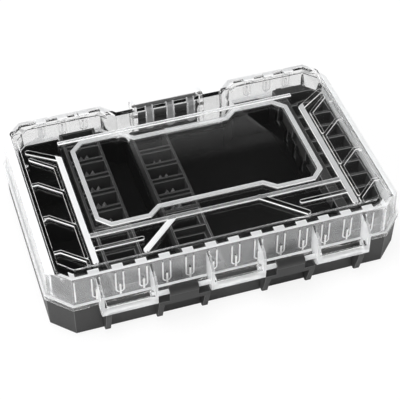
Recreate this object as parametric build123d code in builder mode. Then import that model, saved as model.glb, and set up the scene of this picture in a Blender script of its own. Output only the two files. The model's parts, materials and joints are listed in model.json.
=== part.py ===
from build123d import *
import math
import os

os.makedirs("parts", exist_ok=True)

# Bit storage case. Millimetres, +Z up. X runs along the case, the hinge is at -Y and the latch at +Y.
# The origin is the centre of the bottom of the box that bounds the whole case.

# Case size
case_length = 200.0
case_depth = 130.0
corner_cut = 12.0
base_height = 21.8
lid_top = 42.5

# Shell walls
base_wall = 2.2
base_floor = 2.0
base_draft = 0.6
base_foot_chamfer = 1.3
base_recess_depth = 0.8
scoop_length = 36.0
rim_step = 1.3
rim_height = 1.2
lid_wall = 2.0
lid_roof = 2.4
lid_inset = 0.8
lid_draft = 0.6
flange_out = 0.9
flange_thickness = 1.7
lip_thickness = 1.3
lip_gap = 0.3
shell_gap = 0.3

# Latch bay in the rear wall
bay_mouth = 78.0
bay_width = 62.0
bay_depth = 8.0

# Hinge
axis_reach = 5.4
axis_height = 24.3
rod_radius = 1.4
rod_clearance = 0.06
rod_seat_clearance = 0.02
rod_overlap = 3.2
clip_radius = 2.7
clip_mouth = 2.2
clip_foot_width = 4.0
clip_length = 16.0
clip_middle = 29.9
sweep_radius = 4.9
bracket_reach = 8.7
bracket_length = 30.3
bracket_middle = 59.6
cheek_thickness = 1.6
cheek_top = 41.2
cheek_shoulder = 38.4
cheek_elbow = 35.0
boss_radius = 2.8
guard_thickness = 1.4
guard_height = 5.8
fin_thickness = 3.0
fin_gap = 0.5
fin_top = 18.9
fin_foot = 3.6
fin_reach = 7.4
fin_foot_reach = 3.6
outer_fin = 71.2
shelf_thickness = 2.6

# Lid roof and walls
side_slope_width = 5.1
side_slope_drop = 3.2
band_width = 1.6
ledge_width = 7.0
ledge_depth = 1.2
channel_pitch = 12.7
channel_count = 13
channel_shift = 1.0
channel_width = 5.0
channel_rib = 0.8
channel_proud = 0.6
channel_foot = 28.9
merlon_width = 6.0
merlon_reach = 4.2
end_merlon = 86.5
end_merlon_width = 2.6
pin_width = 1.1
pin_height = 7.6
pin_proud = 1.3
pin_drop = 3.2
rib_rise = 1.0
joint_sides = 8
frame_rib = 2.3
bar_rib = 3.0
chevron_rib = 1.7
frame_half = 63.8
frame_front = -27.8
frame_rear = 39.8
frame_cut = 6.2
frame_jog = 5.4
frame_jog_front = 33.0
frame_jog_rear = 31.0
frame_jog_run = 6.5
bar_middle = 72.4
bar_front = -51.2
bar_rear = 30.0
chevron_pitch = 26.5
chevron_first = 14.0
chevron_count = 3
chevron_drop = 10.6
chevron_gap = 2.6
chevron_inner = 76.2
chevron_knee = 88.0
chevron_outer = 91.8
cross_rib_y = -32.6
lower_rib_y = -42.6
strut_inner = 24.5
strut_outer = 45.0
tick_places = (-76.0, -54.5, 54.5, 76.0)
tooth_places = (30.0, -14.0)
tooth_size = 1.8

# Latch
latch_width = 37.0
latch_gap = 0.5
latch_thickness = 2.4
latch_pivot_inset = 3.4
latch_pivot_height = 36.8
latch_barrel = 2.4
latch_foot = 9.4
grip_length = 26.0
grip_count = 4
grip_width = 0.8
grip_pitch = 1.6
grip_depth = 0.4
latch_pin_radius = 1.0
latch_pin_clearance = 0.06
latch_cheek = 2.6
hood_roof = 1.5
hood_slope = 2.4
catch_thickness = 1.8
catch_height = 14.0
catch_reach = 3.1

# Inserts
insert_gap = 1.0
part_gap = 0.6
insert_floor = 1.4
insert_wall = 1.4
rack_top = 28.0
bin_top = 25.0
well_top = 20.0
rack_width = 21.0
left_rack_x = -54.9
middle_rack_x = -14.9
groove_rack_x = 67.7
rack_split_y = -15.4
cell_pitch = 13.4
cell_wall = 1.2
cell_slot = 2.2
finger_width = 2.2
finger_height = 15.0
finger_thickness = 3.0
finger_spread = 4.2
frame_cell_pitch = 12.7
frame_cell_step = 1.3
frame_cell_drop = 5.0
bin_count = 4
groove_pitch = 11.1
groove_count = 10
groove_radius = 4.6
groove_centre_z = 22.5
groove_bed = 15.5
groove_ledge = 6.0
window_angle = 80.0
window_depth = 4.8
# Y middle, foot height, width and height of each window in the groove rack's wall
windows = (
    (49.8, 12.0, 10.5, 14.5),
    (26.5, 18.5, 8.0, 8.0),
    (5.2, 18.5, 8.0, 8.0),
    (-15.0, 18.5, 8.0, 8.0),
    (-36.0, 18.5, 8.0, 8.0),
)
# Y middle, foot height and width of each notch in the well's wall beside it
notches = ((49.8, 12.0, 10.5), (34.6, 10.5, 8.0), (21.5, 10.5, 8.0), (9.0, 10.5, 7.0), (-4.0, 10.5, 7.0))
step_heights = (23.0, 20.0, 17.0)
step_edges = (-31.5, -23.4, -16.0)

# Places worked out from the sizes above
case_middle_y = (bracket_reach - flange_out) / 2
base_front = case_middle_y - case_depth / 2
base_rear = case_middle_y + case_depth / 2
half_length = case_length / 2
axis_y = base_front - axis_reach
lid_bottom = base_height + shell_gap
shoulder_z = base_height - rim_height
lid_front = base_front + lid_inset
lid_rear = base_rear - lid_inset
bay_y = base_rear - bay_depth
cavity_inset = base_wall + base_draft
insert_inset = cavity_inset + insert_gap
bracket_half = bracket_length / 2
inner_fin = bracket_half + fin_gap + fin_thickness / 2
middle_fin = bracket_middle - bracket_half - fin_gap - fin_thickness / 2
pivot_y = bay_y + latch_pivot_inset
insert_bottom = base_floor


def outline(inset, height):
    """Plan of the case at a height: a box with cut corners and the latch bay at the rear."""
    x_cut = half_length - corner_cut
    corners = [
        (half_length, base_front + corner_cut),
        (half_length, base_rear - corner_cut),
        (x_cut, base_rear),
        (bay_mouth / 2, base_rear),
        (bay_width / 2, bay_y),
        (-bay_width / 2, bay_y),
        (-bay_mouth / 2, base_rear),
        (-x_cut, base_rear),
        (-half_length, base_rear - corner_cut),
        (-half_length, base_front + corner_cut),
        (-x_cut, base_front),
        (x_cut, base_front),
    ]
    with BuildSketch(Plane.XY.offset(height)) as plan:
        with BuildLine():
            Polyline(*corners, close=True)
        make_face()
        if inset:
            offset(amount=-inset, kind=Kind.INTERSECTION)
    return plan.sketch


def strip(start, end, width):
    """Flat strip from one point to another, for use inside a sketch."""
    run_x = end[0] - start[0]
    run_y = end[1] - start[1]
    middle = ((start[0] + end[0]) / 2, (start[1] + end[1]) / 2)
    angle = math.degrees(math.atan2(run_y, run_x))
    with Locations(Location((middle[0], middle[1], 0), (0, 0, angle))):
        Rectangle(math.hypot(run_x, run_y), width)


def rib_path(points, width):
    """Strips through a list of points with eight-sided joints."""
    for start, end in zip(points, points[1:]):
        strip(start, end, width)
    with Locations(*points):
        RegularPolygon(width / 2, joint_sides, major_radius=False, rotation=180 / joint_sides)


def at_x(section, x):
    """A section drawn across the case, moved along it."""
    return section.moved(Location((x, 0, 0)))


def at_y(section, y):
    """A section drawn along the case, moved to the front or rear."""
    return section.moved(Location((0, y, 0)))


def save(builder, name):
    """Label a finished piece and write its file."""
    builder.part.label = name
    export_step(builder.part, f"parts/{name}.step")


# Base: tray with a stepped rim
base_low = outline(base_draft, 0)
base_high = outline(0, shoulder_z)
base_rim = outline(rim_step, shoulder_z)
base_cavity = outline(cavity_inset, base_floor)
base_recess = outline(corner_cut, 0)

with BuildSketch(Plane.YZ) as fin_side:
    with BuildLine():
        Polyline(
            (base_front + base_wall, fin_top),
            (base_front - fin_reach, fin_top),
            (base_front - fin_reach, fin_top - shelf_thickness),
            (base_front - fin_foot_reach, fin_foot),
            (base_front - fin_foot_reach / 2, fin_foot - fin_thickness / 2),
            (base_front + base_wall, fin_foot),
            close=True,
        )
    make_face()

with BuildSketch(Plane.YZ) as shelf_side:
    with Locations((base_front, fin_top)):
        Rectangle(2 * fin_reach, shelf_thickness, align=(Align.CENTER, Align.MAX))
    with Locations((base_front + base_wall, fin_top)):
        Rectangle(fin_reach, shelf_thickness, align=(Align.MIN, Align.MAX), mode=Mode.SUBTRACT)

with BuildSketch(Plane.YZ) as clip_side:
    with Locations((axis_y, axis_height)):
        Circle(clip_radius)
    with Locations((axis_y, fin_top)):
        Rectangle(clip_foot_width, axis_height - fin_top, align=(Align.CENTER, Align.MIN))
    with Locations((axis_y, axis_height)):
        Circle(rod_radius + rod_clearance, mode=Mode.SUBTRACT)
        Rectangle(2 * clip_radius, clip_mouth, align=(Align.MIN, Align.CENTER), mode=Mode.SUBTRACT)

with BuildSketch(Plane.YZ) as catch_side:
    with BuildLine():
        Polyline(
            (bay_y - base_wall, catch_height),
            (bay_y + catch_reach, catch_height),
            (bay_y + catch_reach, catch_height + catch_thickness),
            (bay_y - base_wall, catch_height + catch_thickness + catch_reach),
            close=True,
        )
    make_face()

with BuildPart() as base_shell:
    loft([base_low.face(), base_high.face()], ruled=True)
    chamfer(base_shell.faces().sort_by(Axis.Z)[0].edges(), base_foot_chamfer)
    extrude(base_rim, amount=rim_height)
    extrude(base_cavity, amount=base_height, mode=Mode.SUBTRACT)
    extrude(base_recess, amount=base_recess_depth, mode=Mode.SUBTRACT)
    # Six fins, two shelves and the snap clips on them carry the hinge
    for place in (inner_fin, middle_fin, outer_fin):
        for side in (-1, 1):
            extrude(at_x(fin_side.sketch, side * place), amount=fin_thickness / 2, both=True)
    for side in (-1, 1):
        middle = side * (inner_fin + middle_fin) / 2
        shelf_half = (middle_fin - inner_fin) / 2
        extrude(at_x(shelf_side.sketch, middle), amount=shelf_half, both=True)
        extrude(at_x(clip_side.sketch, side * clip_middle), amount=clip_length / 2, both=True)
    # Catch for the latch across the bay
    extrude(catch_side.sketch, amount=latch_width / 2 - latch_gap, both=True)
    # Finger scoops in the short walls
    with Locations((-half_length, case_middle_y, shoulder_z), (half_length, case_middle_y, shoulder_z)):
        Box(2 * rim_step, scoop_length, 2 * rim_height, mode=Mode.SUBTRACT)
save(base_shell, "base_shell")


def lid_form(inset, bottom, top):
    """Closed form of the lid: drafted walls with a slope along the top of each short side."""
    low = outline(lid_inset + inset, bottom)
    high = outline(lid_inset + lid_draft + inset, top)
    slope_start = half_length - lid_inset - lid_draft - side_slope_width - inset / 2
    run = side_slope_width + inset + 4 * lid_wall
    fall = run * side_slope_drop / side_slope_width
    with BuildPart() as form:
        loft([low.face(), high.face()], ruled=True)
        with BuildSketch(Plane.XZ) as slopes:
            for side in (-1, 1):
                with BuildLine():
                    Polyline(
                        (side * slope_start, top),
                        (side * (slope_start + run), top - fall),
                        (side * (slope_start + run), top + fall),
                        (side * slope_start, top + fall),
                        close=True,
                    )
                make_face()
        extrude(amount=case_depth, both=True, mode=Mode.SUBTRACT)
    return form.part


def frame_points():
    """Corners of the eight-sided roof frame with its four jogs, as a closed loop."""
    left = -frame_half
    right = frame_half
    front_jog = frame_jog_front
    rear_jog = frame_jog_rear
    run = frame_jog_run
    return [
        (left, frame_front + frame_cut),
        (left + frame_cut, frame_front),
        (-front_jog - run / 2, frame_front),
        (-front_jog + run / 2, frame_front + frame_jog),
        (front_jog - run / 2, frame_front + frame_jog),
        (front_jog + run / 2, frame_front),
        (right - frame_cut, frame_front),
        (right, frame_front + frame_cut),
        (right, frame_rear - frame_cut),
        (right - frame_cut, frame_rear),
        (rear_jog + run / 2, frame_rear),
        (rear_jog - run / 2, frame_rear - frame_jog),
        (-rear_jog + run / 2, frame_rear - frame_jog),
        (-rear_jog - run / 2, frame_rear),
        (left + frame_cut, frame_rear),
        (left, frame_rear - frame_cut),
        (left, frame_front + frame_cut),
    ]


# Lid: clear shell with a flange, a ledge along the long sides and the roof ribs
lid_outer = lid_form(0, lid_bottom, lid_top)
lid_inner = lid_form(lid_wall, lid_bottom - lid_wall, lid_top - lid_roof)
flange_plan = outline(-flange_out, lid_bottom)
lip_plan = outline(-flange_out, lid_bottom)
lip_hole = outline(lip_thickness - flange_out, lid_bottom)
ledge_outer = outline(lid_inset + lid_draft + band_width, lid_top)
ledge_inner = outline(lid_inset + lid_draft + ledge_width, lid_top)
merlon_inner = outline(lid_inset + lid_draft + merlon_reach, lid_top)
ledge_half = half_length - lid_inset - lid_draft - side_slope_width
bay_ledge = bay_width + 2 * ledge_width

channel_half = channel_count // 2
all_channels = [channel_shift + index * channel_pitch for index in range(-channel_half, channel_half + 1)]

with BuildSketch(Plane.XY.offset(lid_top)) as ledge_plan:
    add(ledge_outer)
    add(ledge_inner, mode=Mode.SUBTRACT)
    with Locations((0, case_middle_y)):
        Rectangle(2 * ledge_half, case_depth, mode=Mode.INTERSECT)
    with Locations((0, bay_y)):
        Rectangle(bay_ledge, 3 * ledge_width, mode=Mode.SUBTRACT)

with BuildSketch(Plane.XY.offset(lid_top)) as merlon_plan:
    with Locations(*[(x, case_middle_y) for x in all_channels]):
        Rectangle(merlon_width, 2 * case_depth)
    with Locations((end_merlon, base_front), (-end_merlon, base_front)):
        Rectangle(end_merlon_width, 4 * ledge_width)
    for tick in tick_places:
        with Locations((tick, base_rear)):
            Rectangle(2 * channel_rib, 4 * ledge_width)
    add(merlon_inner, mode=Mode.SUBTRACT)
    add(ledge_plan.sketch, mode=Mode.INTERSECT)


def channel_section(places):
    """Outline ribs of the U-shaped channels that stand on a long wall."""
    height = lid_top - ledge_depth - channel_foot
    inner_width = channel_width - 2 * channel_rib
    points = [(place, channel_foot) for place in places]
    with BuildSketch(Plane.XZ) as section:
        with Locations(*points):
            Rectangle(channel_width, height, align=(Align.CENTER, Align.MIN))
            Circle(channel_width / 2)
        with Locations(*points):
            Circle(inner_width / 2, mode=Mode.SUBTRACT)
            Rectangle(inner_width, height, align=(Align.CENTER, Align.MIN), mode=Mode.SUBTRACT)
    return section.sketch


def end_section():
    """Upright strip under each end merlon, down to the foot of the channels."""
    foot = channel_foot - channel_width / 2
    with BuildSketch(Plane.XZ) as section:
        with Locations((end_merlon, foot), (-end_merlon, foot)):
            Rectangle(channel_rib, lid_top - ledge_depth - foot, align=(Align.CENTER, Align.MIN))
    return section.sketch


def pin_section(places):
    """Short upright pins, one at the foot of each channel."""
    with BuildSketch(Plane.XZ) as section:
        with Locations(*[(place, channel_foot - pin_drop) for place in places]):
            Rectangle(pin_width, pin_height, align=(Align.CENTER, Align.MIN))
    return section.sketch


rear_channels = [x for x in all_channels if abs(x) > bay_mouth / 2 + channel_width]
bay_channels = [x for x in all_channels if abs(x) < latch_width / 2 - channel_width / 2]
front_channel_section = channel_section(all_channels)
front_pin_section = pin_section(all_channels)
front_end_section = end_section()
rear_channel_section = channel_section(rear_channels)
rear_pin_section = pin_section(rear_channels)
bay_channel_section = channel_section(bay_channels)

with BuildSketch(Plane.XY.offset(lid_top)) as roof_ribs:
    rib_path(frame_points(), frame_rib)
    for side in (-1, 1):
        rib_path([(side * bar_middle, bar_front), (side * bar_middle, bar_rear)], bar_rib)
        chevron_top = bar_rear + chevron_drop
        rib_path([(side * bar_middle, bar_rear), (side * chevron_knee, chevron_top)], bar_rib)
        rib_path([(side * strut_inner, cross_rib_y), (side * strut_outer, bar_front)], bar_rib)
        rib_path([(side * strut_outer, lower_rib_y), (side * bar_middle, lower_rib_y)], frame_rib)
        for index in range(chevron_count):
            outer_y = chevron_first - index * chevron_pitch
            rib_path(
                [
                    (side * chevron_outer, outer_y),
                    (side * chevron_knee, outer_y),
                    (side * chevron_inner, outer_y - chevron_drop),
                    (side * chevron_inner, outer_y - chevron_drop - chevron_pitch + chevron_gap),
                ],
                chevron_rib,
            )
        rib_path(
            [
                (side * chevron_knee, chevron_first + chevron_pitch - 2 * bar_rib),
                (side * chevron_inner, chevron_first + chevron_pitch - chevron_drop - 2 * bar_rib),
                (side * chevron_inner, chevron_first - chevron_drop + chevron_gap),
            ],
            chevron_rib,
        )
    rib_path([(-bar_middle, cross_rib_y), (bar_middle, cross_rib_y)], frame_rib)
    # Small teeth along the slopes
    with Locations(*[(chevron_outer, place) for place in tooth_places]):
        RegularPolygon(tooth_size, 3, rotation=180)
    with Locations(*[(-chevron_outer, place) for place in tooth_places]):
        RegularPolygon(tooth_size, 3)
    add(ledge_inner, mode=Mode.INTERSECT)

cheek_low = math.sqrt(sweep_radius**2 - (axis_reach - bracket_reach) ** 2)
cheek_start = 180 + math.degrees(math.atan2(cheek_low, bracket_reach - axis_reach))
cheek_in = math.sqrt(sweep_radius**2 - (lid_bottom - axis_height) ** 2)
cheek_end = 360 - math.degrees(math.atan2(axis_height - lid_bottom, cheek_in))

with BuildSketch(Plane.YZ) as cheek_side:
    with BuildLine():
        Polyline(
            (axis_y + cheek_in, lid_bottom),
            (lid_front + lid_wall / 2, lid_bottom),
            (lid_front + lid_wall / 2, cheek_top),
            (base_front - bracket_reach + 2 * rod_radius, cheek_shoulder),
            (base_front - bracket_reach, cheek_elbow),
            (base_front - bracket_reach, axis_height - cheek_low),
        )
        CenterArc((axis_y, axis_height), sweep_radius, cheek_start, cheek_end - cheek_start)
    make_face()

with BuildSketch(Plane.YZ) as guard_side:
    with BuildLine():
        guard_start = cheek_start
        guard_size = 270 - cheek_start
        CenterArc((axis_y, axis_height), sweep_radius, guard_start, guard_size)
        CenterArc((axis_y, axis_height), sweep_radius - guard_thickness, guard_start, guard_size)
        for angle in (guard_start, guard_start + guard_size):
            direction = (math.cos(math.radians(angle)), math.sin(math.radians(angle)))
            Line(
                (axis_y + sweep_radius * direction[0], axis_height + sweep_radius * direction[1]),
                (
                    axis_y + (sweep_radius - guard_thickness) * direction[0],
                    axis_height + (sweep_radius - guard_thickness) * direction[1],
                ),
            )
    make_face()
    with Locations((base_front - bracket_reach, axis_height - cheek_low)):
        Rectangle(guard_thickness, guard_height, align=(Align.MIN, Align.MIN))

with BuildSketch(Plane.YZ) as boss_side:
    with Locations((axis_y, axis_height)):
        Circle(boss_radius)

with BuildSketch(Plane.YZ) as rod_hole:
    with Locations((axis_y, axis_height)):
        Circle(rod_radius + rod_seat_clearance)

hood_half = latch_width / 2 + latch_gap + latch_cheek
with BuildSketch(Plane.YZ) as hood_cheek_side:
    with BuildLine():
        Polyline(
            (bay_y - lid_inset - lid_wall / 2, lid_top),
            (base_rear - hood_slope, lid_top),
            (base_rear, lid_top - hood_slope),
            (base_rear, latch_pivot_height - 2 * latch_barrel),
            (bay_y + hood_slope, lid_bottom + flange_thickness),
            (bay_y - lid_inset - lid_wall / 2, lid_bottom + flange_thickness),
            close=True,
        )
    make_face()
with BuildSketch(Plane.YZ) as hood_roof_side:
    with BuildLine():
        Polyline(
            (bay_y - lid_inset - lid_wall / 2, lid_top),
            (base_rear - hood_slope, lid_top),
            (base_rear, lid_top - hood_slope),
            (base_rear - hood_roof, lid_top - hood_slope),
            (base_rear - hood_slope - hood_roof / 2, lid_top - hood_roof),
            (bay_y - lid_inset - lid_wall / 2, lid_top - hood_roof),
            close=True,
        )
    make_face()
with BuildSketch(Plane.YZ) as latch_pin_hole:
    with Locations((pivot_y, latch_pivot_height)):
        Circle(latch_pin_radius + rod_seat_clearance)

with BuildPart() as lid_shell:
    add(lid_outer)
    extrude(flange_plan, amount=flange_thickness)
    extrude(lip_plan, amount=-(lid_bottom - shoulder_z - lip_gap))
    extrude(lip_hole, amount=-(lid_bottom - shoulder_z), mode=Mode.SUBTRACT)
    # No lip along the hinge
    with Locations((0, base_front, lid_bottom)):
        Box(
            2 * (bracket_middle + bracket_half + channel_width),
            4 * lip_thickness,
            2 * rim_height,
            align=(Align.CENTER, Align.CENTER, Align.MAX),
            mode=Mode.SUBTRACT,
        )
    extrude(ledge_plan.sketch, amount=-ledge_depth, mode=Mode.SUBTRACT)
    extrude(merlon_plan.sketch, amount=-ledge_depth)
    # Channels and pins on the front wall, on the rear wall clear of the bay, and channels in the bay
    channel_run = channel_proud + lid_wall / 2 + lid_draft
    pin_run = pin_proud + lid_wall / 2 + lid_draft
    extrude(at_y(front_channel_section, lid_front - channel_proud), amount=-channel_run)
    extrude(at_y(front_pin_section, lid_front - pin_proud), amount=-pin_run)
    extrude(at_y(front_end_section, lid_front - channel_proud), amount=-channel_run)
    extrude(at_y(rear_channel_section, lid_rear + channel_proud), amount=channel_run)
    extrude(at_y(rear_pin_section, lid_rear + pin_proud), amount=pin_run)
    extrude(at_y(bay_channel_section, bay_y - lid_inset + channel_proud), amount=channel_run)
    extrude(roof_ribs.sketch, amount=rib_rise)
    # Hinge brackets
    for centre in (-bracket_middle, 0, bracket_middle):
        for side in (-1, 1):
            cheek_x = centre + side * (bracket_half - cheek_thickness / 2)
            extrude(at_x(cheek_side.sketch, cheek_x), amount=cheek_thickness / 2, both=True)
            boss_x = centre + side * (bracket_half - rod_overlap / 2)
            extrude(at_x(boss_side.sketch, boss_x), amount=rod_overlap / 2, both=True)
        extrude(at_x(guard_side.sketch, centre), amount=bracket_half, both=True)
    # Hood over the latch
    for side in (-1, 1):
        cheek_x = side * (hood_half - latch_cheek / 2)
        extrude(at_x(hood_cheek_side.sketch, cheek_x), amount=latch_cheek / 2, both=True)
    extrude(hood_roof_side.sketch, amount=hood_half, both=True)
    add(lid_inner, mode=Mode.SUBTRACT)
    # Rod and pin seats
    for side in (-1, 1):
        rod_middle = side * bracket_middle / 2
        rod_half = bracket_middle / 2 - bracket_half + rod_overlap
        extrude(at_x(rod_hole.sketch, rod_middle), amount=rod_half, both=True, mode=Mode.SUBTRACT)
    extrude(latch_pin_hole.sketch, amount=hood_half, both=True, mode=Mode.SUBTRACT)
save(lid_shell, "lid_shell")


# Hinge rods, seated in the lid's bosses and running in the base's clips
rod_length = bracket_middle - 2 * bracket_half + 2 * rod_overlap
for side, side_name in ((-1, "left"), (1, "right")):
    rod_start = side * bracket_middle / 2 - rod_length / 2
    with BuildPart() as hinge_rod:
        with BuildSketch(Plane.YZ.offset(rod_start)):
            with Locations((axis_y, axis_height)):
                Circle(rod_radius)
        extrude(amount=rod_length)
        chamfer(hinge_rod.edges(), rod_radius / 5)
    save(hinge_rod, f"hinge_rod_{side_name}")


# Latch lever: barrel, plate and a foot that closes over the catch
lever_face = pivot_y + latch_barrel
catch_clear = bay_y + catch_reach + shell_gap
with BuildSketch(Plane.YZ) as lever_side:
    with Locations((pivot_y, latch_pivot_height)):
        Circle(latch_barrel)
    with BuildLine():
        Polyline(
            (lever_face - latch_thickness, latch_pivot_height),
            (lever_face - latch_thickness, catch_height + 2 * catch_thickness),
            (catch_clear, catch_height + catch_thickness),
            (catch_clear, latch_foot),
            (lever_face + latch_thickness / 2, latch_foot - latch_thickness / 2),
            (lever_face + latch_thickness / 2, latch_foot + latch_thickness),
            (lever_face, latch_foot + 2 * latch_thickness),
            (lever_face, latch_pivot_height),
            close=True,
        )
    make_face()
    with Locations((pivot_y, latch_pivot_height)):
        Circle(latch_pin_radius + latch_pin_clearance, mode=Mode.SUBTRACT)
with BuildPart() as latch_lever:
    extrude(lever_side.sketch, amount=latch_width / 2, both=True)
    # Grip lines across the outside face
    with BuildSketch(Plane.XZ.offset(-lever_face)):
        with Locations((0, latch_pivot_height - 3 * latch_barrel)):
            with GridLocations(1, grip_pitch, 1, grip_count):
                Rectangle(grip_length, grip_width)
    extrude(amount=grip_depth, both=True, mode=Mode.SUBTRACT)
save(latch_lever, "latch_lever")

with BuildPart() as latch_pin:
    with BuildSketch(Plane.YZ):
        with Locations((pivot_y, latch_pivot_height)):
            Circle(latch_pin_radius)
    extrude(amount=hood_half, both=True)
    chamfer(latch_pin.edges(), latch_pin_radius / 5)
save(latch_pin, "latch_pin")


def insert_plan(x_low, x_high, y_low, y_high, inset, height):
    """Plan of an insert: the case cavity between two X values and two Y values, less an inset."""
    with BuildSketch(Plane.XY.offset(height)) as plan:
        add(outline(insert_inset, height))
        with Locations(((x_low + x_high) / 2, (y_low + y_high) / 2)):
            Rectangle(x_high - x_low, y_high - y_low, mode=Mode.INTERSECT)
        if inset:
            offset(amount=-inset, kind=Kind.INTERSECTION)
    return plan.sketch


far_front = base_front - case_depth
far_rear = base_rear + case_depth
left_rack_low = left_rack_x - rack_width / 2
left_rack_high = left_rack_x + rack_width / 2
middle_rack_low = middle_rack_x - rack_width / 2
middle_rack_high = middle_rack_x + rack_width / 2
insert_front = base_front + insert_inset
insert_rear = base_rear - insert_inset


def open_tray(x_low, x_high, top):
    """Walls and floor of an open insert that fills the case from front to rear."""
    outside = insert_plan(x_low, x_high, far_front, far_rear, 0, insert_bottom)
    inside = insert_plan(x_low, x_high, far_front, far_rear, insert_wall, insert_bottom + insert_floor)
    with BuildPart() as tray:
        extrude(outside, amount=top - insert_bottom)
        extrude(inside, amount=top, mode=Mode.SUBTRACT)
    return tray.part


# Bin tray along the left side
bin_x_low = -half_length
bin_x_high = left_rack_low - part_gap
bin_length = insert_rear - insert_front
bin_step = bin_length / bin_count
bin_form = open_tray(bin_x_low, bin_x_high, bin_top)
divider_z = insert_bottom + insert_floor / 2
with BuildPart() as bin_tray:
    add(bin_form)
    for index in range(1, bin_count):
        divider = insert_plan(
            bin_x_low,
            bin_x_high,
            insert_front + index * bin_step - insert_wall / 2,
            insert_front + index * bin_step + insert_wall / 2,
            0,
            divider_z,
        )
        extrude(divider, amount=bin_top - 2 * insert_floor - divider_z)
save(bin_tray, "bin_tray")

# Long bin between the two bit racks
long_form = open_tray(left_rack_high + part_gap, middle_rack_low - part_gap, well_top)
with BuildPart() as long_bin:
    add(long_form)
save(long_bin, "long_bin")


def ladder_walls(rear_end):
    """Y middles of the double cross walls of a rack, from the split to its rear end."""
    places = []
    place = rack_split_y + cell_pitch
    while place < rear_end - cell_pitch:
        places.append(place)
        place += cell_pitch
    return places


def ladder_rack(middle_x, rear_end):
    """Bit rack with upright cells between double walls, and two gripping fingers in each cell."""
    front_end = rack_split_y + part_gap / 2
    low = middle_x - rack_width / 2
    high = middle_x + rack_width / 2
    outside = insert_plan(low, high, front_end, rear_end, 0, insert_bottom)
    inside = insert_plan(low, high, front_end, rear_end, insert_wall, insert_bottom + insert_floor)
    walls = ladder_walls(rear_end)
    height = rack_top - insert_bottom
    double = 2 * cell_wall + cell_slot
    with BuildPart() as rack:
        extrude(outside, amount=height)
        extrude(inside, amount=height, mode=Mode.SUBTRACT)
        for place in walls:
            with Locations((middle_x, place, insert_bottom)):
                Box(
                    rack_width - insert_wall,
                    double,
                    height,
                    align=(Align.CENTER, Align.CENTER, Align.MIN),
                )
            with Locations((middle_x, place, insert_bottom + insert_floor)):
                Box(
                    rack_width - 2 * insert_wall,
                    cell_slot,
                    height,
                    align=(Align.CENTER, Align.CENTER, Align.MIN),
                    mode=Mode.SUBTRACT,
                )
        with BuildSketch(Plane.YZ.offset(middle_x), mode=Mode.PRIVATE) as fingers:
            for place in walls:
                finger_y = place - double / 2
                finger_z = insert_bottom + insert_floor / 2
                with BuildLine():
                    Polyline(
                        (finger_y + cell_wall / 2, finger_z),
                        (finger_y - finger_thickness, finger_z),
                        (finger_y - finger_thickness / 3, finger_z + finger_height),
                        (finger_y + cell_wall / 2, finger_z + finger_height),
                        close=True,
                    )
                make_face()
        for side in (-1, 1):
            extrude(at_x(fingers.sketch, side * finger_spread), amount=finger_width / 2, both=True)
    return rack.part


def framed_rack(middle_x):
    """Front part of a rack: wide pockets, each with a step round it."""
    low = middle_x - rack_width / 2
    high = middle_x + rack_width / 2
    rear_end = rack_split_y - part_gap / 2
    outside = insert_plan(low, high, far_front, rear_end, 0, insert_bottom)
    height = rack_top - insert_bottom
    pockets = int((rear_end - insert_front) // frame_cell_pitch)
    with BuildPart() as rack:
        extrude(outside, amount=height)
        for index in range(pockets):
            pocket_y = rear_end - (index + 0.5) * (rear_end - insert_front) / pockets
            pocket_depth = (rear_end - insert_front) / pockets - insert_wall
            pocket_width = rack_width - 2 * insert_wall
            with Locations((middle_x, pocket_y, rack_top)):
                Box(
                    pocket_width,
                    pocket_depth,
                    2 * frame_cell_drop,
                    mode=Mode.SUBTRACT,
                )
                Box(
                    pocket_width - 2 * frame_cell_step,
                    pocket_depth - 2 * frame_cell_step,
                    2 * (height - insert_floor),
                    mode=Mode.SUBTRACT,
                )
    return rack.part


bay_rear = bay_y - insert_inset
for rack_name, rack_x, rack_rear in (
    ("left", left_rack_x, insert_rear),
    ("middle", middle_rack_x, bay_rear),
):
    rear_part = ladder_rack(rack_x, rack_rear)
    front_part = framed_rack(rack_x)
    with BuildPart() as rear_rack:
        add(rear_part)
    save(rear_rack, f"rack_{rack_name}_rear")
    with BuildPart() as front_rack:
        add(front_part)
    save(front_rack, f"rack_{rack_name}_front")

# Centre well with a stepped front, and notches in its wall beside the groove rack
well_low = middle_rack_high + part_gap
well_high = groove_rack_x - part_gap
well_form = open_tray(well_low, well_high, well_top)
with BuildSketch(Plane.YZ) as step_side:
    with BuildLine():
        step_points = [(insert_front + insert_wall / 2, step_heights[0])]
        for edge, upper, lower in zip(step_edges, step_heights, step_heights[1:] + (insert_bottom,)):
            step_points.append((edge, upper))
            step_points.append((edge, lower))
        inner_points = [(y - insert_wall, z - insert_wall) for y, z in reversed(step_points[1:-1])]
        foot = (step_points[-1][0] - insert_wall, insert_bottom)
        head = (insert_front + insert_wall / 2, step_heights[0] - insert_wall)
        Polyline(*step_points, foot, *inner_points, head, close=True)
    make_face()
with BuildSketch(Plane.YZ) as notch_side:
    for notch_y, notch_foot, notch_width in notches:
        with Locations((notch_y, notch_foot)):
            Trapezoid(notch_width, rack_top - notch_foot, window_angle, align=(Align.CENTER, Align.MIN))
with BuildPart() as well_tray:
    add(well_form)
    # The stepped front is open from below
    step_middle = (well_low + well_high) / 2
    under_depth = step_edges[-1] - insert_front - 2 * insert_wall
    under_width = well_high - well_low - 2 * insert_wall
    with Locations((step_middle, (insert_front + step_edges[-1]) / 2, insert_bottom)):
        Box(under_width, under_depth, 2 * insert_floor, mode=Mode.SUBTRACT)
    step_half = (well_high - well_low - insert_wall) / 2
    extrude(at_x(step_side.sketch, step_middle), amount=step_half, both=True)
    notch_start = at_x(notch_side.sketch, well_high - 2 * insert_wall)
    extrude(notch_start, amount=3 * insert_wall, mode=Mode.SUBTRACT)
save(well_tray, "well_tray")

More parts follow.
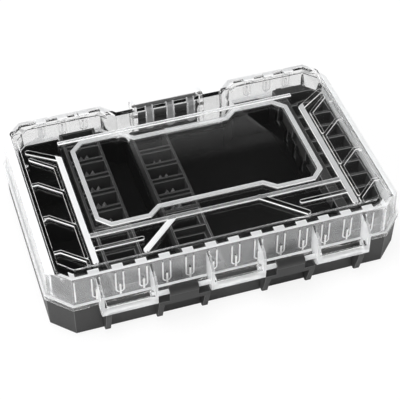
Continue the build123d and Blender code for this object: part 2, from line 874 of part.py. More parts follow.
# Groove rack along the right side, hollow below its bed, with a windowed wall beside the well
groove_plan = insert_plan(groove_rack_x, half_length, far_front, far_rear, 0, insert_bottom)
groove_hollow = insert_plan(groove_rack_x, half_length, far_front, far_rear, insert_wall, insert_bottom)
groove_start = groove_rack_x + groove_ledge - insert_wall
groove_ends = insert_plan(groove_start, half_length, far_front, far_rear, insert_wall, insert_bottom)
with BuildSketch(Plane.YZ) as groove_side:
    with Locations((case_middle_y, groove_centre_z)):
        with GridLocations(groove_pitch, 1, groove_count, 1):
            Circle(groove_radius)
            Rectangle(2 * groove_radius, rack_top, align=(Align.CENTER, Align.MIN))
with BuildSketch(Plane.YZ) as window_side:
    for window_y, window_foot, window_width, window_height in windows:
        with Locations((window_y, window_foot)):
            Trapezoid(window_width, window_height, window_angle, align=(Align.CENTER, Align.MIN))
    for notch_y, notch_foot, notch_width in notches:
        with Locations((notch_y, notch_foot)):
            Trapezoid(notch_width, well_top - notch_foot, window_angle, align=(Align.CENTER, Align.MIN))
with BuildPart() as grooves:
    extrude(at_x(groove_side.sketch, groove_rack_x), amount=half_length)
    extrude(groove_ends, amount=2 * rack_top, mode=Mode.INTERSECT)
with BuildPart() as groove_rack:
    extrude(groove_plan, amount=rack_top - insert_bottom)
    extrude(groove_hollow, amount=groove_bed - insert_bottom, mode=Mode.SUBTRACT)
    add(grooves.part, mode=Mode.SUBTRACT)
    window_start = at_x(window_side.sketch, groove_rack_x - insert_wall)
    extrude(window_start, amount=insert_wall + window_depth, mode=Mode.SUBTRACT)
save(groove_rack, "groove_rack")
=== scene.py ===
import json
import math

import bmesh
import bpy
from bpy.props import FloatProperty, FloatVectorProperty, PointerProperty
from bpy.types import Operator, Panel, PropertyGroup
from mathutils import Matrix, Vector


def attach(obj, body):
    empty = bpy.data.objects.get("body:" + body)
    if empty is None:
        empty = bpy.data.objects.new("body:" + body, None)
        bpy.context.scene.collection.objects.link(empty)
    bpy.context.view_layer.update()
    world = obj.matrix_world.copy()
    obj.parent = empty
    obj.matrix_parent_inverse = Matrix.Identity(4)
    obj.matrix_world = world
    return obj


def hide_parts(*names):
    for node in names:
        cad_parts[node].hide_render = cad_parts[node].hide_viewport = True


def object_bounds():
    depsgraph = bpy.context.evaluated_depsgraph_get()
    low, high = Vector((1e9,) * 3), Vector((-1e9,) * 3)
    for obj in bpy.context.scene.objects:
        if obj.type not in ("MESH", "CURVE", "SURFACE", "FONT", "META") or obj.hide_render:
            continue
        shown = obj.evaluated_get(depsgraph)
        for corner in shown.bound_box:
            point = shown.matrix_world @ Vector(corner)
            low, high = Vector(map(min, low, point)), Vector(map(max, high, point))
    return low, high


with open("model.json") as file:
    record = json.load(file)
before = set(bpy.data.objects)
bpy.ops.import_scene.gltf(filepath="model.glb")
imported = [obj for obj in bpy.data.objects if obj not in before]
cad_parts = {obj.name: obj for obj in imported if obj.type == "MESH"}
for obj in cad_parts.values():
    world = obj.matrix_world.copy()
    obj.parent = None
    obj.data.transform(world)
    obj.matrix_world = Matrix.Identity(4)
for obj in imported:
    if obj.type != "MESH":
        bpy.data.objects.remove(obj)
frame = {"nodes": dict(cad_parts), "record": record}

bl_info = {
    "name": "Bit storage case",
    "version": (1, 0, 0),
    "blender": (4, 5, 0),
    "location": "View3D > Sidebar > Bit case",
    "description": "Finishes the bit storage case: clear lid, charcoal base, racks, "
                   "trays and latch",
    "category": "Object",
}

CAD_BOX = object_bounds()
MM = 0.001
WHITE = (1, 1, 1, 1)

# Copies of the CAD nodes: distance in mm, angles in degrees
MERGE_DISTANCE = 0.002
FLAT_ANGLE = 0.5
CONVEX_ANGLE = 30
SHARP_ANGLE = 40
SMOOTH_ANGLE = 50
BEVEL_STEPS = 2
NORMAL_WEIGHT = 100

# Plastics and steel: the middle part of a noise's values, sizes of its patches in mm
NOISE_LOW = 0.3
NOISE_HIGH = 0.7
TONE_SIZE = 30
TONE_DRIFT = 0.2
WAVE_SIZE = 9
WAVE_DEPTH = 0.015
CLOUD_SIZE = 12
CLOUD_DRIFT = 0.03
STEEL_LINE_LENGTH = 8
STEEL_LINE_WIDTH = 0.15
POLYPROPYLENE_IOR = 1.49
POLYCARBONATE_IOR = 1.585
# Paler greys on the rounded edges of the base and the racks: painted highlights
BASE_EDGE_HIGHLIGHT = "565656"
RACK_EDGE_HIGHLIGHT = "747474"
STEEL = "C9C7C3"
PAPER = "F4F4F4"
PALE = "FAFBFC"

# The lid's finishes, in the order in which its materials are put on it
CLEAR, EDGE_HIGHLIGHT, TEXTURED, HAZY, CLOUDY, MISTY = range(6)

# Those after the first, in the same order: name, colour, roughness and the share that is clear
PALE_FINISHES = (
    # The first is a painted highlight: white on the rounded edges and rib sides of the clear lid
    ("painted_highlight_edge", "FFFFFF", 0.35, 0.25),
    ("textured", PALE, 0.5, 0.35),
    ("hazy", PALE, 0.2, 0.84),
    ("cloudy", PALE, 0.3, 0.5),
    ("misty", PALE, 0.25, 0.6),
)

# Lines along which the lid's flat faces are parted, in mm
RIM_FRONT_Y = -53.6
STRUT_REAR_Y = -34.2
HOOD_FRONT_Y = 58.8
RIM_REAR_Y = 61.4
HOOD_MIDDLE_Y = 63.1
HOOD_REAR_Y = 65.9
HOOD_SIDE_X = 31.1
BAR_INNER_X = 70.6
BAR_OUTER_X = 74.2
SLOPE_X = 94.5
LID_CUTS_Y = (RIM_FRONT_Y, STRUT_REAR_Y, HOOD_FRONT_Y, RIM_REAR_Y, HOOD_MIDDLE_Y, HOOD_REAR_Y)
LID_CUTS_X = (-SLOPE_X, -BAR_OUTER_X, -BAR_INNER_X, -HOOD_SIDE_X,
              HOOD_SIDE_X, BAR_INNER_X, BAR_OUTER_X, SLOPE_X)
BESIDE_CUT = 0.1

# Other places on the lid where its finish changes, in mm, and an area in square mm
ROOF_BELOW_TOP = 1.0
ROOF_SLACK = 0.05
RIB_RISE = 0.9
SLOPE_OUTER_X = 98.7
END_WALL_X = 98
FLANGE_X = 99
FLANGE_Y = 60
FLANGE_TOP = 24
CHANNEL_PITCH = 12.7
CHANNEL_START = 1.0
CHANNEL_REACH = 1.9
CHANNEL_FOOT = 26
CHANNEL_TOP = 41.5
CHANNEL_AREA = 60
BAY_Y = 55
STRUT_X = (-50, -20)
FRAME_X = 70
FRAME_FRONT_Y = -30
RIBS_X = 75
FRONT_RIB_Y = (-62, -60.7)
BRACKET_FACE_Y = -69
BRACKET_REAR_Y = -61.5
FRONT_WALL_Y = (-62, -50)
FRONT_WALL_FOOT = 23

# Limits for parts of a face's normal, by which the finish tells walls, slopes and tops apart
SQUARE = 0.9
UPRIGHT = 0.5
STEEP = 0.35
TURNED_FRONT = -0.3
SLOPE_LOW = 0.3
SLOPE_HIGH = 0.97
FLANGE_SIDE = 0.95

# Spring prongs in the cells of the two rear ladder racks, in mm
RACK_CELLS = (
    (-54.9, (-5.6, 7.8, 21.2, 34.6, 48.0)),
    (-14.9, (-5.6, 7.8, 21.2, 34.6)),
)
PRONG_WIDTH = 7.4
PRONG_DEPTH = 2.4
PRONG_HEIGHT = 19.6
PRONG_FOOT = 3.4
PRONG_DROPS = (3.4, 0.0, 4.2)
PRONG_LEAN = -0.6
PRONG_CUTS = 3
PRONG_TOUCH = 0.01

# Straight rib on the lid's roof behind the frame: low and high corners, in mm
REAR_RIB = ((-70.4, 41.3, 42.6), (70.4, 43.9, 43.4))

# Lamps: name, place and aim in m, side in m, power in W, whether mirrored rays see it.
# The ceiling lamp is hidden from them, so it leaves no glare on the flat roof.
LAMPS = (
    ("lamp_top", (-0.25, 0.1, 1.0), (0, 0, 0), 0.9, 8.0, False),
    ("lamp_right", (1.0, -0.2, 0.5), (0, 0, 0), 0.7, 3.0, True),
    ("lamp_left", (-1.0, -0.35, 0.55), (0.05, 0, 0), 0.6, 6.0, True),
)

# Floor and sky: share of glow seen on the floor, height (sine) and strength of the mirrored sky
FLOOR_GLOW = 0.86
WALL_TOP = 0.15
CEILING_START = 0.5
WALL_STRENGTH = 1.0
CEILING_STRENGTH = 0.03
HALF_BOUNCE = 0.5

# Camera: the point it looks at in mm, sensor in mm, nearest distance in m
CAMERA_TARGET = (-1.18, -5.7, 23.0)
SENSOR_WIDTH = 36.0
CLIP_START = 0.01


def linear(code):
    """An sRGB hex colour as linear RGBA."""
    values = [int(code[place:place + 2], 16) / 255 for place in (0, 2, 4)]
    return tuple(
        v / 12.92 if v <= 0.04045 else ((v + 0.055) / 1.055) ** 2.4 for v in values) + (1.0,)


class BitCaseFinish(PropertyGroup):
    """Colours and edge sizes of the case."""

    base_colour: FloatVectorProperty(
        name="Base", description="Colour of the base moulding", subtype="COLOR", size=4,
        min=0, max=1, default=linear("272727"))
    tray_colour: FloatVectorProperty(
        name="Trays", description="Colour of the bin tray and the wells", subtype="COLOR", size=4,
        min=0, max=1, default=linear("0A0A0A"))
    rack_colour: FloatVectorProperty(
        name="Racks", description="Colour of the bit racks", subtype="COLOR", size=4,
        min=0, max=1, default=linear("303030"))
    lid_colour: FloatVectorProperty(
        name="Lid", description="Tint of the clear lid", subtype="COLOR", size=4,
        min=0, max=1, default=linear("FDFDFD"))
    latch_colour: FloatVectorProperty(
        name="Latch", description="Colour of the latch lever", subtype="COLOR", size=4,
        min=0, max=1, default=linear("484848"))
    lid_edge: FloatProperty(
        name="Lid edge", description="Edge radius of the lid moulding", unit="LENGTH",
        min=0, default=0.36 * MM)
    tray_edge: FloatProperty(
        name="Tray edge", description="Edge radius of the base, racks and trays", unit="LENGTH",
        min=0, default=0.3 * MM)


class BitCaseStage(PropertyGroup):
    """Camera and floor of the stage."""

    azimuth: FloatProperty(
        name="Azimuth", description="Turn of the camera round the case", subtype="ANGLE",
        default=math.radians(-17.797))
    elevation: FloatProperty(
        name="Elevation", description="Height angle of the camera", subtype="ANGLE",
        default=math.radians(44.902))
    roll: FloatProperty(
        name="Roll", description="Tilt of the camera round its own view", subtype="ANGLE",
        default=0.0)
    distance: FloatProperty(
        name="Distance", description="Camera to the case's middle", unit="LENGTH",
        default=722.0 * MM)
    lens: FloatProperty(
        name="Lens", description="Focal length in millimetres on a 36 mm sensor", default=115.3)
    ambient: FloatProperty(
        name="Ambient", description="Strength of the soft light from all round", min=0, default=0.5)
    floor_size: FloatProperty(
        name="Floor", description="Side of the floor sheet", unit="LENGTH", default=6.0)


def add_node(tree, kind, settings=None, inputs=None, links=None):
    """Add one node with its settings, input values and incoming links."""
    node = tree.nodes.new(kind)
    for name, value in (settings or {}).items():
        setattr(node, name, value)
    for name, value in (inputs or {}).items():
        node.inputs[name].default_value = value
    for name, socket in (links or {}).items():
        tree.links.new(socket, node.inputs[name])
    return node


def new_material(name):
    """An empty node material with its output node."""
    material = bpy.data.materials.new(name)
    material.use_nodes = True
    tree = material.node_tree
    tree.nodes.clear()
    output = add_node(tree, "ShaderNodeOutputMaterial")
    return material, tree, output


def direct_view(tree):
    """1 for a camera ray and for one that has only passed through clear plastic since, else 0."""
    ray = add_node(tree, "ShaderNodeLightPath")
    bounces = add_node(
        tree, "ShaderNodeMath", settings={"operation": "ADD"},
        links={0: ray.outputs["Diffuse Depth"], 1: ray.outputs["Glossy Depth"]})
    straight = add_node(
        tree, "ShaderNodeMath", settings={"operation": "LESS_THAN"},
        inputs={1: HALF_BOUNCE}, links={0: bounces.outputs["Value"]})
    return straight.outputs["Value"], ray


def object_place(tree):
    """The shaded point in the object's own space."""
    return add_node(tree, "ShaderNodeTexCoord").outputs["Object"]


def noise(tree, where, size, detail, roughness):
    """Noise with patches of a size in mm."""
    return add_node(
        tree, "ShaderNodeTexNoise",
        inputs={"Scale": 1 / (size * MM), "Detail": detail, "Roughness": roughness},
        links={"Vector": where})


def noise_range(tree, source, low, high):
    """The middle part of a noise's values, spread from low to high."""
    return add_node(
        tree, "ShaderNodeMapRange",
        inputs={"From Min": NOISE_LOW, "From Max": NOISE_HIGH, "To Min": low, "To Max": high},
        links={"Value": source.outputs["Fac"]})


def noise_bump(tree, source, strength, depth):
    """Bumps of a noise, their depth in mm."""
    return add_node(
        tree, "ShaderNodeBump",
        inputs={"Strength": strength, "Distance": depth * MM},
        links={"Height": source.outputs["Fac"]})


def finish_material(tree, output, inputs, links):
    """Give a material its one shader."""
    shader = add_node(tree, "ShaderNodeBsdfPrincipled", inputs=inputs, links=links)
    tree.links.new(shader.outputs["BSDF"], output.inputs["Surface"])


def moulded_plastic(name, colour, roughness, grain_size, grain_depth, shine=0.5):
    """Matte moulded plastic: fine grain with its own sheen, and a slow drift of tone."""
    material, tree, output = new_material(name)
    where = object_place(tree)
    grain = noise(tree, where, grain_size, 3.0, 0.6)
    drift = noise(tree, where, TONE_SIZE, 2.0, 0.5)
    tone = add_node(
        tree, "ShaderNodeMix", settings={"data_type": "RGBA"},
        links={"Factor": drift.outputs["Fac"]})
    for socket, factor in (("A", 1 - TONE_DRIFT), ("B", 1 + TONE_DRIFT)):
        tone.inputs[socket].default_value = (
            tuple(channel * factor for channel in colour[:3]) + (1.0,))
    rough = noise_range(tree, grain, roughness - 0.06, roughness + 0.08)
    bump = noise_bump(tree, grain, 0.5, grain_depth)
    finish_material(
        tree, output, {"IOR": POLYPROPYLENE_IOR, "Specular IOR Level": shine},
        {
            "Base Color": tone.outputs["Result"],
            "Roughness": rough.outputs["Result"],
            "Normal": bump.outputs["Normal"],
        })
    return material


def clear_polycarbonate(name, colour, roughness):
    """Clear moulded polycarbonate: see-through and glossy, with faint flow waves."""
    material, tree, output = new_material(name)
    waves = noise(tree, object_place(tree), WAVE_SIZE, 1.0, 0.4)
    bump = noise_bump(tree, waves, 0.2, WAVE_DEPTH)
    finish_material(
        tree, output,
        {
            "Base Color": colour,
            "Roughness": roughness,
            "IOR": POLYCARBONATE_IOR,
            "Transmission Weight": 1.0,
        },
        {"Normal": bump.outputs["Normal"]})
    return material


def pale_polycarbonate(name, colour, roughness, clear):
    """Polycarbonate whose thick or textured parts gather light: pale, and clear by a share."""
    material, tree, output = new_material(name)
    cloud = noise(tree, object_place(tree), CLOUD_SIZE, 2.0, 0.5)
    share = noise_range(tree, cloud, clear - CLOUD_DRIFT, clear + CLOUD_DRIFT)
    finish_material(
        tree, output,
        {"Base Color": colour, "Roughness": roughness, "IOR": POLYCARBONATE_IOR},
        {"Transmission Weight": share.outputs["Result"]})
    return material


def drawn_steel(name):
    """Drawn steel wire: bright, with fine lines along the wire."""
    material, tree, output = new_material(name)
    across = 1 / (STEEL_LINE_WIDTH * MM)
    along = add_node(
        tree, "ShaderNodeMapping",
        inputs={"Scale": (1 / (STEEL_LINE_LENGTH * MM), across, across)},
        links={"Vector": object_place(tree)})
    lines = add_node(
        tree, "ShaderNodeTexNoise", inputs={"Scale": 1.0, "Detail": 2.0},
        links={"Vector": along.outputs["Vector"]})
    rough = add_node(
        tree, "ShaderNodeMapRange", inputs={"To Min": 0.22, "To Max": 0.42},
        links={"Value": lines.outputs["Fac"]})
    finish_material(
        tree, output, {"Base Color": linear(STEEL), "Metallic": 1.0},
        {"Roughness": rough.outputs["Result"]})
    return material


def only(piece):
    """Make one object the whole selection and the active object."""
    bpy.ops.object.select_all(action="DESELECT")
    piece.select_set(True)
    bpy.context.view_layer.objects.active = piece


def body_of_node(node):
    """Name of the body that carries a CAD node."""
    for body, nodes in frame["record"]["behaviour"]["bodies"].items():
        if node in nodes:
            return body
    raise ValueError(node)


def mark_convex(mesh, angle):
    """Bevel weights on the outward edges that are sharper than an angle."""
    work = bmesh.new()
    work.from_mesh(mesh)
    layer = work.edges.layers.float.get("bevel_weight_edge")
    if layer is None:
        layer = work.edges.layers.float.new("bevel_weight_edge")
    for line in work.edges:
        sharp = len(line.link_faces) == 2 and line.calc_face_angle() > angle
        line[layer] = 1.0 if sharp and line.is_convex else 0.0
    work.to_mesh(mesh)
    work.free()


def round_edges(piece, width, **settings):
    """Bevel the active piece for good."""
    bevel = piece.modifiers.new("edge", "BEVEL")
    bevel.width = width
    bevel.segments = BEVEL_STEPS
    for name, value in settings.items():
        setattr(bevel, name, value)
    bpy.ops.object.modifier_apply(modifier=bevel.name)


def add_block(name, middle, sides):
    """A plain box as the active object, its middle and sides in m."""
    bpy.ops.object.select_all(action="DESELECT")
    bpy.ops.mesh.primitive_cube_add(size=1.0, location=middle)
    piece = bpy.context.active_object
    piece.name = name
    piece.data.name = name
    piece.dimensions = sides
    bpy.ops.object.transform_apply(location=True, rotation=True, scale=True)
    return piece


def rounded_copy(node, name, edge, material, edge_material=None, cuts=()):
    """A merged copy of a CAD node, parted along the cuts, with its sharp edges rounded.

    With an edge material only the outward edges are rounded; the roundings get it, a painted
    highlight.
    """
    source = frame["nodes"][node]
    mesh = source.data.copy()
    mesh.name = name
    piece = bpy.data.objects.new(name, mesh)
    bpy.context.scene.collection.objects.link(piece)
    only(piece)
    mesh.materials.clear()
    mesh.materials.append(material)
    bpy.ops.object.mode_set(mode="EDIT")
    bpy.ops.mesh.select_all(action="SELECT")
    bpy.ops.mesh.remove_doubles(threshold=MERGE_DISTANCE * MM)
    bpy.ops.mesh.dissolve_limited(angle_limit=math.radians(FLAT_ANGLE))
    for place, normal in cuts:
        bpy.ops.mesh.select_all(action="SELECT")
        bpy.ops.mesh.bisect(plane_co=place, plane_no=normal)
    bpy.ops.object.mode_set(mode="OBJECT")
    if edge_material:
        mesh.materials.append(edge_material)
        mark_convex(mesh, math.radians(CONVEX_ANGLE))
        round_edges(piece, edge, limit_method="WEIGHT", use_clamp_overlap=True, material=1)
    elif edge:
        round_edges(
            piece, edge, limit_method="ANGLE", angle_limit=math.radians(SHARP_ANGLE),
            use_clamp_overlap=True)
    bpy.ops.object.shade_smooth_by_angle(angle=math.radians(SMOOTH_ANGLE))
    even = piece.modifiers.new("even", "WEIGHTED_NORMAL")
    even.mode = "FACE_AREA"
    even.weight = NORMAL_WEIGHT
    even.keep_sharp = True
    bpy.ops.object.modifier_apply(modifier=even.name)
    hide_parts(node)
    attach(piece, body_of_node(node))
    return piece


def add_floor(size):
    """White paper: lit where light scatters on it, mostly aglow where it is seen directly."""
    bpy.ops.object.select_all(action="DESELECT")
    bpy.ops.mesh.primitive_plane_add(size=size, location=(0, 0, 0))
    floor = bpy.context.active_object
    floor.name = "floor"
    material, tree, output = new_material("floor_paper")
    seen, _ = direct_view(tree)
    diffuse = add_node(tree, "ShaderNodeBsdfDiffuse", inputs={"Color": linear(PAPER)})
    glow = add_node(tree, "ShaderNodeEmission", inputs={"Color": WHITE})
    both = add_node(tree, "ShaderNodeMixShader", inputs={"Fac": FLOOR_GLOW})
    tree.links.new(diffuse.outputs["BSDF"], both.inputs[1])
    tree.links.new(glow.outputs["Emission"], both.inputs[2])
    pick = add_node(tree, "ShaderNodeMixShader", links={"Fac": seen})
    tree.links.new(diffuse.outputs["BSDF"], pick.inputs[1])
    tree.links.new(both.outputs["Shader"], pick.inputs[2])
    tree.links.new(pick.outputs["Shader"], output.inputs["Surface"])
    floor.data.materials.append(material)


def add_sky(scene, ambient):
    """White behind the case, soft light of the ambient strength, and its own mirrored sky."""
    world = bpy.data.worlds.new("studio")
    world.use_nodes = True
    scene.world = world
    tree = world.node_tree
    tree.nodes.clear()
    output = add_node(tree, "ShaderNodeOutputWorld")
    seen, ray = direct_view(tree)
    # Mirrored rays see bright low walls and a dark ceiling, so flat plastic stays clear
    way = add_node(tree, "ShaderNodeTexCoord")
    height = add_node(
        tree, "ShaderNodeSeparateXYZ", links={"Vector": way.outputs["Generated"]})
    mirrored = add_node(
        tree, "ShaderNodeMapRange",
        inputs={
            "From Min": WALL_TOP, "From Max": CEILING_START,
            "To Min": WALL_STRENGTH, "To Max": CEILING_STRENGTH,
        },
        links={"Value": height.outputs["Z"]})
    scattered = add_node(
        tree, "ShaderNodeMath", settings={"operation": "GREATER_THAN"},
        inputs={1: HALF_BOUNCE}, links={0: ray.outputs["Diffuse Depth"]})
    indirect = add_node(
        tree, "ShaderNodeMix", settings={"data_type": "FLOAT"}, inputs={"B": ambient},
        links={"Factor": scattered.outputs["Value"], "A": mirrored.outputs["Result"]})
    strength = add_node(
        tree, "ShaderNodeMix", settings={"data_type": "FLOAT"}, inputs={"B": 1.0},
        links={"Factor": seen, "A": indirect.outputs["Result"]})
    sky = add_node(
        tree, "ShaderNodeBackground", inputs={"Color": WHITE},
        links={"Strength": strength.outputs["Result"]})
    tree.links.new(sky.outputs["Background"], output.inputs["Surface"])


def add_lamps(scene):
    """Square lamps that no ray sees through clear plastic."""
    for name, place, aim, size, power, mirrored in LAMPS:
        lamp = bpy.data.lights.new(name, "AREA")
        lamp.shape = "SQUARE"
        lamp.size = size
        lamp.energy = power
        holder = bpy.data.objects.new(name, lamp)
        scene.collection.objects.link(holder)
        holder.location = place
        holder.visible_glossy = mirrored
        holder.visible_transmission = False
        way = Vector(aim) - Vector(place)
        holder.rotation_euler = way.to_track_quat("-Z", "Y").to_euler()


def add_camera(scene, stage):
    """The camera at its angles round the target."""
    cos_e = math.cos(stage.elevation)
    back = Vector((
        math.sin(stage.azimuth) * cos_e,
        -math.cos(stage.azimuth) * cos_e,
        math.sin(stage.elevation),
    ))
    right = Vector((0, 0, 1)).cross(back).normalized()
    up = back.cross(right)
    cos_r = math.cos(stage.roll)
    sin_r = math.sin(stage.roll)
    side = cos_r * right + sin_r * up
    top = cos_r * up - sin_r * right
    target = Vector(CAMERA_TARGET) * MM
    data = bpy.data.cameras.new("camera")
    data.lens = stage.lens
    data.sensor_width = SENSOR_WIDTH
    data.clip_start = CLIP_START
    camera = bpy.data.objects.new("camera", data)
    scene.collection.objects.link(camera)
    turn = Matrix((side, top, back)).transposed().to_4x4()
    camera.matrix_world = Matrix.Translation(target + back * stage.distance) @ turn
    scene.camera = camera


class BITCASE_OT_stage(Operator):
    """Floor, soft light and the camera"""

    bl_idname = "bitcase.stage"
    bl_label = "Stage"

    def execute(self, context):
        stage = context.scene.bitcase_stage
        scene = context.scene
        scene.view_settings.view_transform = "Standard"
        add_floor(stage.floor_size)
        add_sky(scene, stage.ambient)
        add_lamps(scene)
        add_camera(scene, stage)
        return {"FINISHED"}


def channel_reach(x):
    """Distance in mm from the middle of the nearest channel."""
    half = CHANNEL_PITCH / 2
    return abs((x - CHANNEL_START + half) % CHANNEL_PITCH - half)


def lid_finish(place, normal, area, roof):
    """The finish of a face of the lid, by its middle, normal, area and the roof height in mm."""
    x, y, z = place
    reach = abs(x)
    up = normal.z > SQUARE
    front = normal.y < -SQUARE
    sideways = abs(normal.x) > SQUARE
    on_roof = up and abs(z - roof) < ROOF_SLACK
    on_rib = up and z > roof + RIB_RISE

    # The sides of all that stands on the roof gather light: they get the painted highlight
    if abs(normal.z) < UPRIGHT and z > roof + ROOF_SLACK:
        return EDGE_HIGHLIGHT
    # Hood over the latch: clear in front, textured behind
    if on_roof and y > HOOD_FRONT_Y + BESIDE_CUT and reach < HOOD_SIDE_X - BESIDE_CUT:
        return TEXTURED if y > HOOD_MIDDLE_Y - BESIDE_CUT else CLEAR
    # Rims along the front and the rear
    if on_roof and (y < RIM_FRONT_Y - BESIDE_CUT or y > RIM_REAR_Y + BESIDE_CUT):
        return CLOUDY
    # Slopes and walls at the two ends
    if SLOPE_X + BESIDE_CUT < reach < SLOPE_OUTER_X and SLOPE_LOW < normal.z < SLOPE_HIGH:
        return TEXTURED
    if sideways and reach > END_WALL_X:
        return MISTY
    # Flange round the foot
    if z < FLANGE_TOP and abs(normal.z) < FLANGE_SIDE and (y > FLANGE_Y or reach > FLANGE_X):
        return CLOUDY
    if up and z < FLANGE_TOP:
        return CLOUDY
    # Small faces of the rear channels
    if (abs(normal.y) > SQUARE and CHANNEL_FOOT < z < CHANNEL_TOP
            and channel_reach(x) < CHANNEL_REACH and area < CHANNEL_AREA and y > BAY_Y):
        return MISTY
    # Tops of the bars, struts and frame: textured on the left and clearer on the right, as the
    # photo looks; the moulding is alike on both sides, so the paler left tops are painted glare
    on_strut = STRUT_X[0] < x < STRUT_X[1] and y < STRUT_REAR_Y - BESIDE_CUT
    if on_rib and (-BAR_OUTER_X < x < -BAR_INNER_X or on_strut):
        return TEXTURED
    on_frame = reach < FRAME_X and y > FRAME_FRONT_Y
    if on_rib and (BAR_INNER_X < x < BAR_OUTER_X or on_frame):
        return MISTY
    if on_rib and reach < RIBS_X and y > STRUT_REAR_Y - BESIDE_CUT:
        return HAZY
    # Front rib with the painted highlight, faces of the brackets, front wall and cheeks of the
    # brackets
    if front and FRONT_RIB_Y[0] < y < FRONT_RIB_Y[1] and z > FLANGE_TOP:
        return EDGE_HIGHLIGHT
    if front and y < BRACKET_FACE_Y:
        return MISTY
    if (normal.y < TURNED_FRONT and abs(normal.z) < STEEP
            and FRONT_WALL_Y[0] < y < FRONT_WALL_Y[1] and z > FRONT_WALL_FOOT):
        return HAZY
    if sideways and y < BRACKET_REAR_Y:
        return MISTY
    return CLEAR


def let_light_in(piece):
    """Let the lamps reach the trays through a clear piece: no shadow, unseen by scattered light."""
    piece.visible_shadow = False
    piece.visible_diffuse = False


def add_rear_rib(edge, materials):
    """The straight rib behind the frame, its sides and rounded edges of the second material, a
    painted highlight.
    """
    low, high = (Vector(corner) * MM for corner in REAR_RIB)
    piece = add_block("lid_rear_rib", (low + high) / 2, high - low)
    for material in materials:
        piece.data.materials.append(material)
    for face in piece.data.polygons:
        face.material_index = 0 if abs(face.normal.z) > UPRIGHT else 1
    round_edges(piece, edge, material=1)
    bpy.ops.object.shade_smooth_by_angle(angle=math.radians(SMOOTH_ANGLE))
    let_light_in(piece)
    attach(piece, "lid")


class BITCASE_OT_lid(Operator):
    """Clear lid with its rear rib, rods and latch pin"""

    bl_idname = "bitcase.lid"
    bl_label = "Lid"

    def execute(self, context):
        finish = context.scene.bitcase_finish
        clear = clear_polycarbonate("polycarbonate_clear", tuple(finish.lid_colour), 0.03)
        # The bright finish is a painted highlight for the rounded edges and the sides of ribs
        bright, textured, hazy, cloudy, misty = (
            pale_polycarbonate("polycarbonate_" + name, linear(colour), roughness, share)
            for name, colour, roughness, share in PALE_FINISHES)
        cuts = [(Vector((0, y * MM, 0)), (0, 1, 0)) for y in LID_CUTS_Y]
        cuts += [(Vector((x * MM, 0, 0)), (1, 0, 0)) for x in LID_CUTS_X]
        lid = rounded_copy("lid_shell", "lid", finish.lid_edge, clear, bright, cuts)
        for material in (textured, hazy, cloudy, misty):
            lid.data.materials.append(material)
        roof = CAD_BOX[1][2] / MM - ROOF_BELOW_TOP
        for face in lid.data.polygons:
            if face.material_index == CLEAR:
                face.material_index = lid_finish(
                    face.center / MM, face.normal, face.area / MM**2, roof)
        let_light_in(lid)
        add_rear_rib(finish.lid_edge, (hazy, bright))
        # The rods are clear polycarbonate; their cloudy pale finish paints the bright highlights
        # they show
        for side in ("left", "right"):
            rounded_copy(f"hinge_rod_{side}", f"rod_{side}", 0, cloudy)
        rounded_copy("latch_pin", "pin", 0, drawn_steel("steel_wire_drawn"))
        return {"FINISHED"}


class BITCASE_OT_base(Operator):
    """Charcoal base with its hinge fins, shelves and clips"""

    bl_idname = "bitcase.base"
    bl_label = "Base"

    def execute(self, context):
        finish = context.scene.bitcase_finish
        charcoal = moulded_plastic(
            "polypropylene_charcoal_grained", tuple(finish.base_colour),
            roughness=0.5, grain_size=0.7, grain_depth=0.05)
        # Paler grey for the rounded edges: a painted highlight
        base_highlight = moulded_plastic(
            "polypropylene_charcoal_painted_highlight", linear(BASE_EDGE_HIGHLIGHT),
            roughness=0.45, grain_size=0.7, grain_depth=0.03)
        rounded_copy("base_shell", "base", finish.tray_edge, charcoal, base_highlight)
        return {"FINISHED"}


class BITCASE_OT_trays(Operator):
    """Black bin tray, long bin and centre well"""

    bl_idname = "bitcase.trays"
    bl_label = "Trays"

    def execute(self, context):
        finish = context.scene.bitcase_finish
        black = moulded_plastic(
            "polypropylene_black_grained", tuple(finish.tray_colour),
            roughness=0.45, grain_size=0.6, grain_depth=0.04, shine=0.2)
        for node in ("bin_tray", "long_bin", "well_tray"):
            rounded_copy(node, node + "_moulding", finish.tray_edge, black)
        return {"FINISHED"}


def add_prong(name, place, material):
    """One pair of spring prongs that holds a bit upright in a rack's cell."""
    piece = add_block(
        name, Vector(place) * MM, (PRONG_WIDTH * MM, PRONG_DEPTH * MM, PRONG_HEIGHT * MM))
    bpy.ops.object.mode_set(mode="EDIT")
    bpy.ops.mesh.select_all(action="DESELECT")
    bpy.ops.mesh.select_mode(type="EDGE")
    work = bmesh.from_edit_mesh(piece.data)
    for line in work.edges:
        way = line.verts[1].co - line.verts[0].co
        line.select = abs(way.x) > abs(way.y) + abs(way.z)
    bmesh.update_edit_mesh(piece.data)
    bpy.ops.mesh.subdivide(number_cuts=PRONG_CUTS)
    bpy.ops.mesh.select_mode(type="VERT")
    # Lower the top at its ends and its middle, so that two prongs stand up, and lean it
    work = bmesh.from_edit_mesh(piece.data)
    top = (place[2] + PRONG_HEIGHT / 2) * MM
    for corner in work.verts:
        across = round((corner.co.x / MM - place[0]) / (PRONG_WIDTH / (PRONG_CUTS + 1)))
        if abs(corner.co.z - top) < PRONG_TOUCH * MM:
            corner.co.z -= PRONG_DROPS[abs(across)] * MM
            corner.co.y += PRONG_LEAN * MM
    bmesh.update_edit_mesh(piece.data)
    bpy.ops.object.mode_set(mode="OBJECT")
    piece.data.materials.append(material)
    return piece


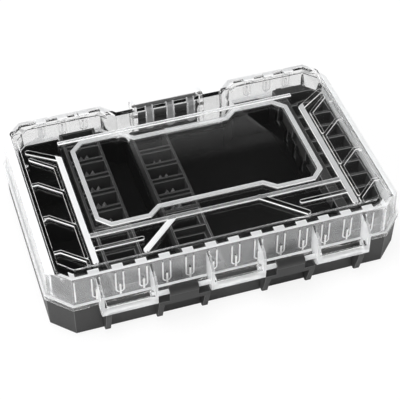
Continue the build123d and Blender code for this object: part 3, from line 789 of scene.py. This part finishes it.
class BITCASE_OT_racks(Operator):
    """Dark grey bit racks with their spring prongs, and the grooved rack"""

    bl_idname = "bitcase.racks"
    bl_label = "Racks"

    def execute(self, context):
        finish = context.scene.bitcase_finish
        grey = moulded_plastic(
            "polypropylene_grey_grained", tuple(finish.rack_colour),
            roughness=0.42, grain_size=0.6, grain_depth=0.04)
        # Paler grey for the rounded edges: a painted highlight, which the prongs get all over
        pale = moulded_plastic(
            "polypropylene_grey_painted_highlight", linear(RACK_EDGE_HIGHLIGHT),
            roughness=0.4, grain_size=0.6, grain_depth=0.03)
        for node in ("rack_left_rear", "rack_left_front", "rack_middle_rear", "rack_middle_front",
                     "groove_rack"):
            rounded_copy(node, node + "_moulding", finish.tray_edge, grey, pale)
        prongs = []
        for x, rear_cells in RACK_CELLS:
            for y in rear_cells:
                prongs.append(add_prong(
                    f"prong_{len(prongs) + 1}", (x, y, PRONG_FOOT + PRONG_HEIGHT / 2), pale))
        for prong in prongs:
            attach(prong, "base")
        return {"FINISHED"}


class BITCASE_OT_latch(Operator):
    """Dark latch lever"""

    bl_idname = "bitcase.latch"
    bl_label = "Latch"

    def execute(self, context):
        finish = context.scene.bitcase_finish
        nylon = moulded_plastic(
            "nylon_black_satin", tuple(finish.latch_colour),
            roughness=0.35, grain_size=0.5, grain_depth=0.02)
        rounded_copy("latch_lever", "lever", finish.tray_edge, nylon)
        return {"FINISHED"}


OPERATORS = (
    BITCASE_OT_stage, BITCASE_OT_base, BITCASE_OT_trays, BITCASE_OT_racks, BITCASE_OT_lid,
    BITCASE_OT_latch,
)


class BITCASE_PT_panel(Panel):
    """Steps and values of the case"""

    bl_idname = "BITCASE_PT_panel"
    bl_label = "Bit case"
    bl_space_type = "VIEW_3D"
    bl_region_type = "UI"
    bl_category = "Bit case"

    def draw(self, context):
        column = self.layout.column()
        for operator in OPERATORS:
            column.operator(operator.bl_idname)
        for group in (context.scene.bitcase_finish, context.scene.bitcase_stage):
            for name in group.bl_rna.properties.keys():
                if name not in ("rna_type", "name"):
                    column.prop(group, name)


CLASSES = (BitCaseFinish, BitCaseStage) + OPERATORS + (BITCASE_PT_panel,)


def register():
    for item in CLASSES:
        bpy.utils.register_class(item)
    bpy.types.Scene.bitcase_finish = PointerProperty(type=BitCaseFinish)
    bpy.types.Scene.bitcase_stage = PointerProperty(type=BitCaseStage)


def unregister():
    del bpy.types.Scene.bitcase_stage
    del bpy.types.Scene.bitcase_finish
    for item in reversed(CLASSES):
        bpy.utils.unregister_class(item)


def main():
    register()
    for operator in OPERATORS:
        family, step = operator.bl_idname.split(".")
        getattr(getattr(bpy.ops, family), step)()


if __name__ == "__main__":
    main()
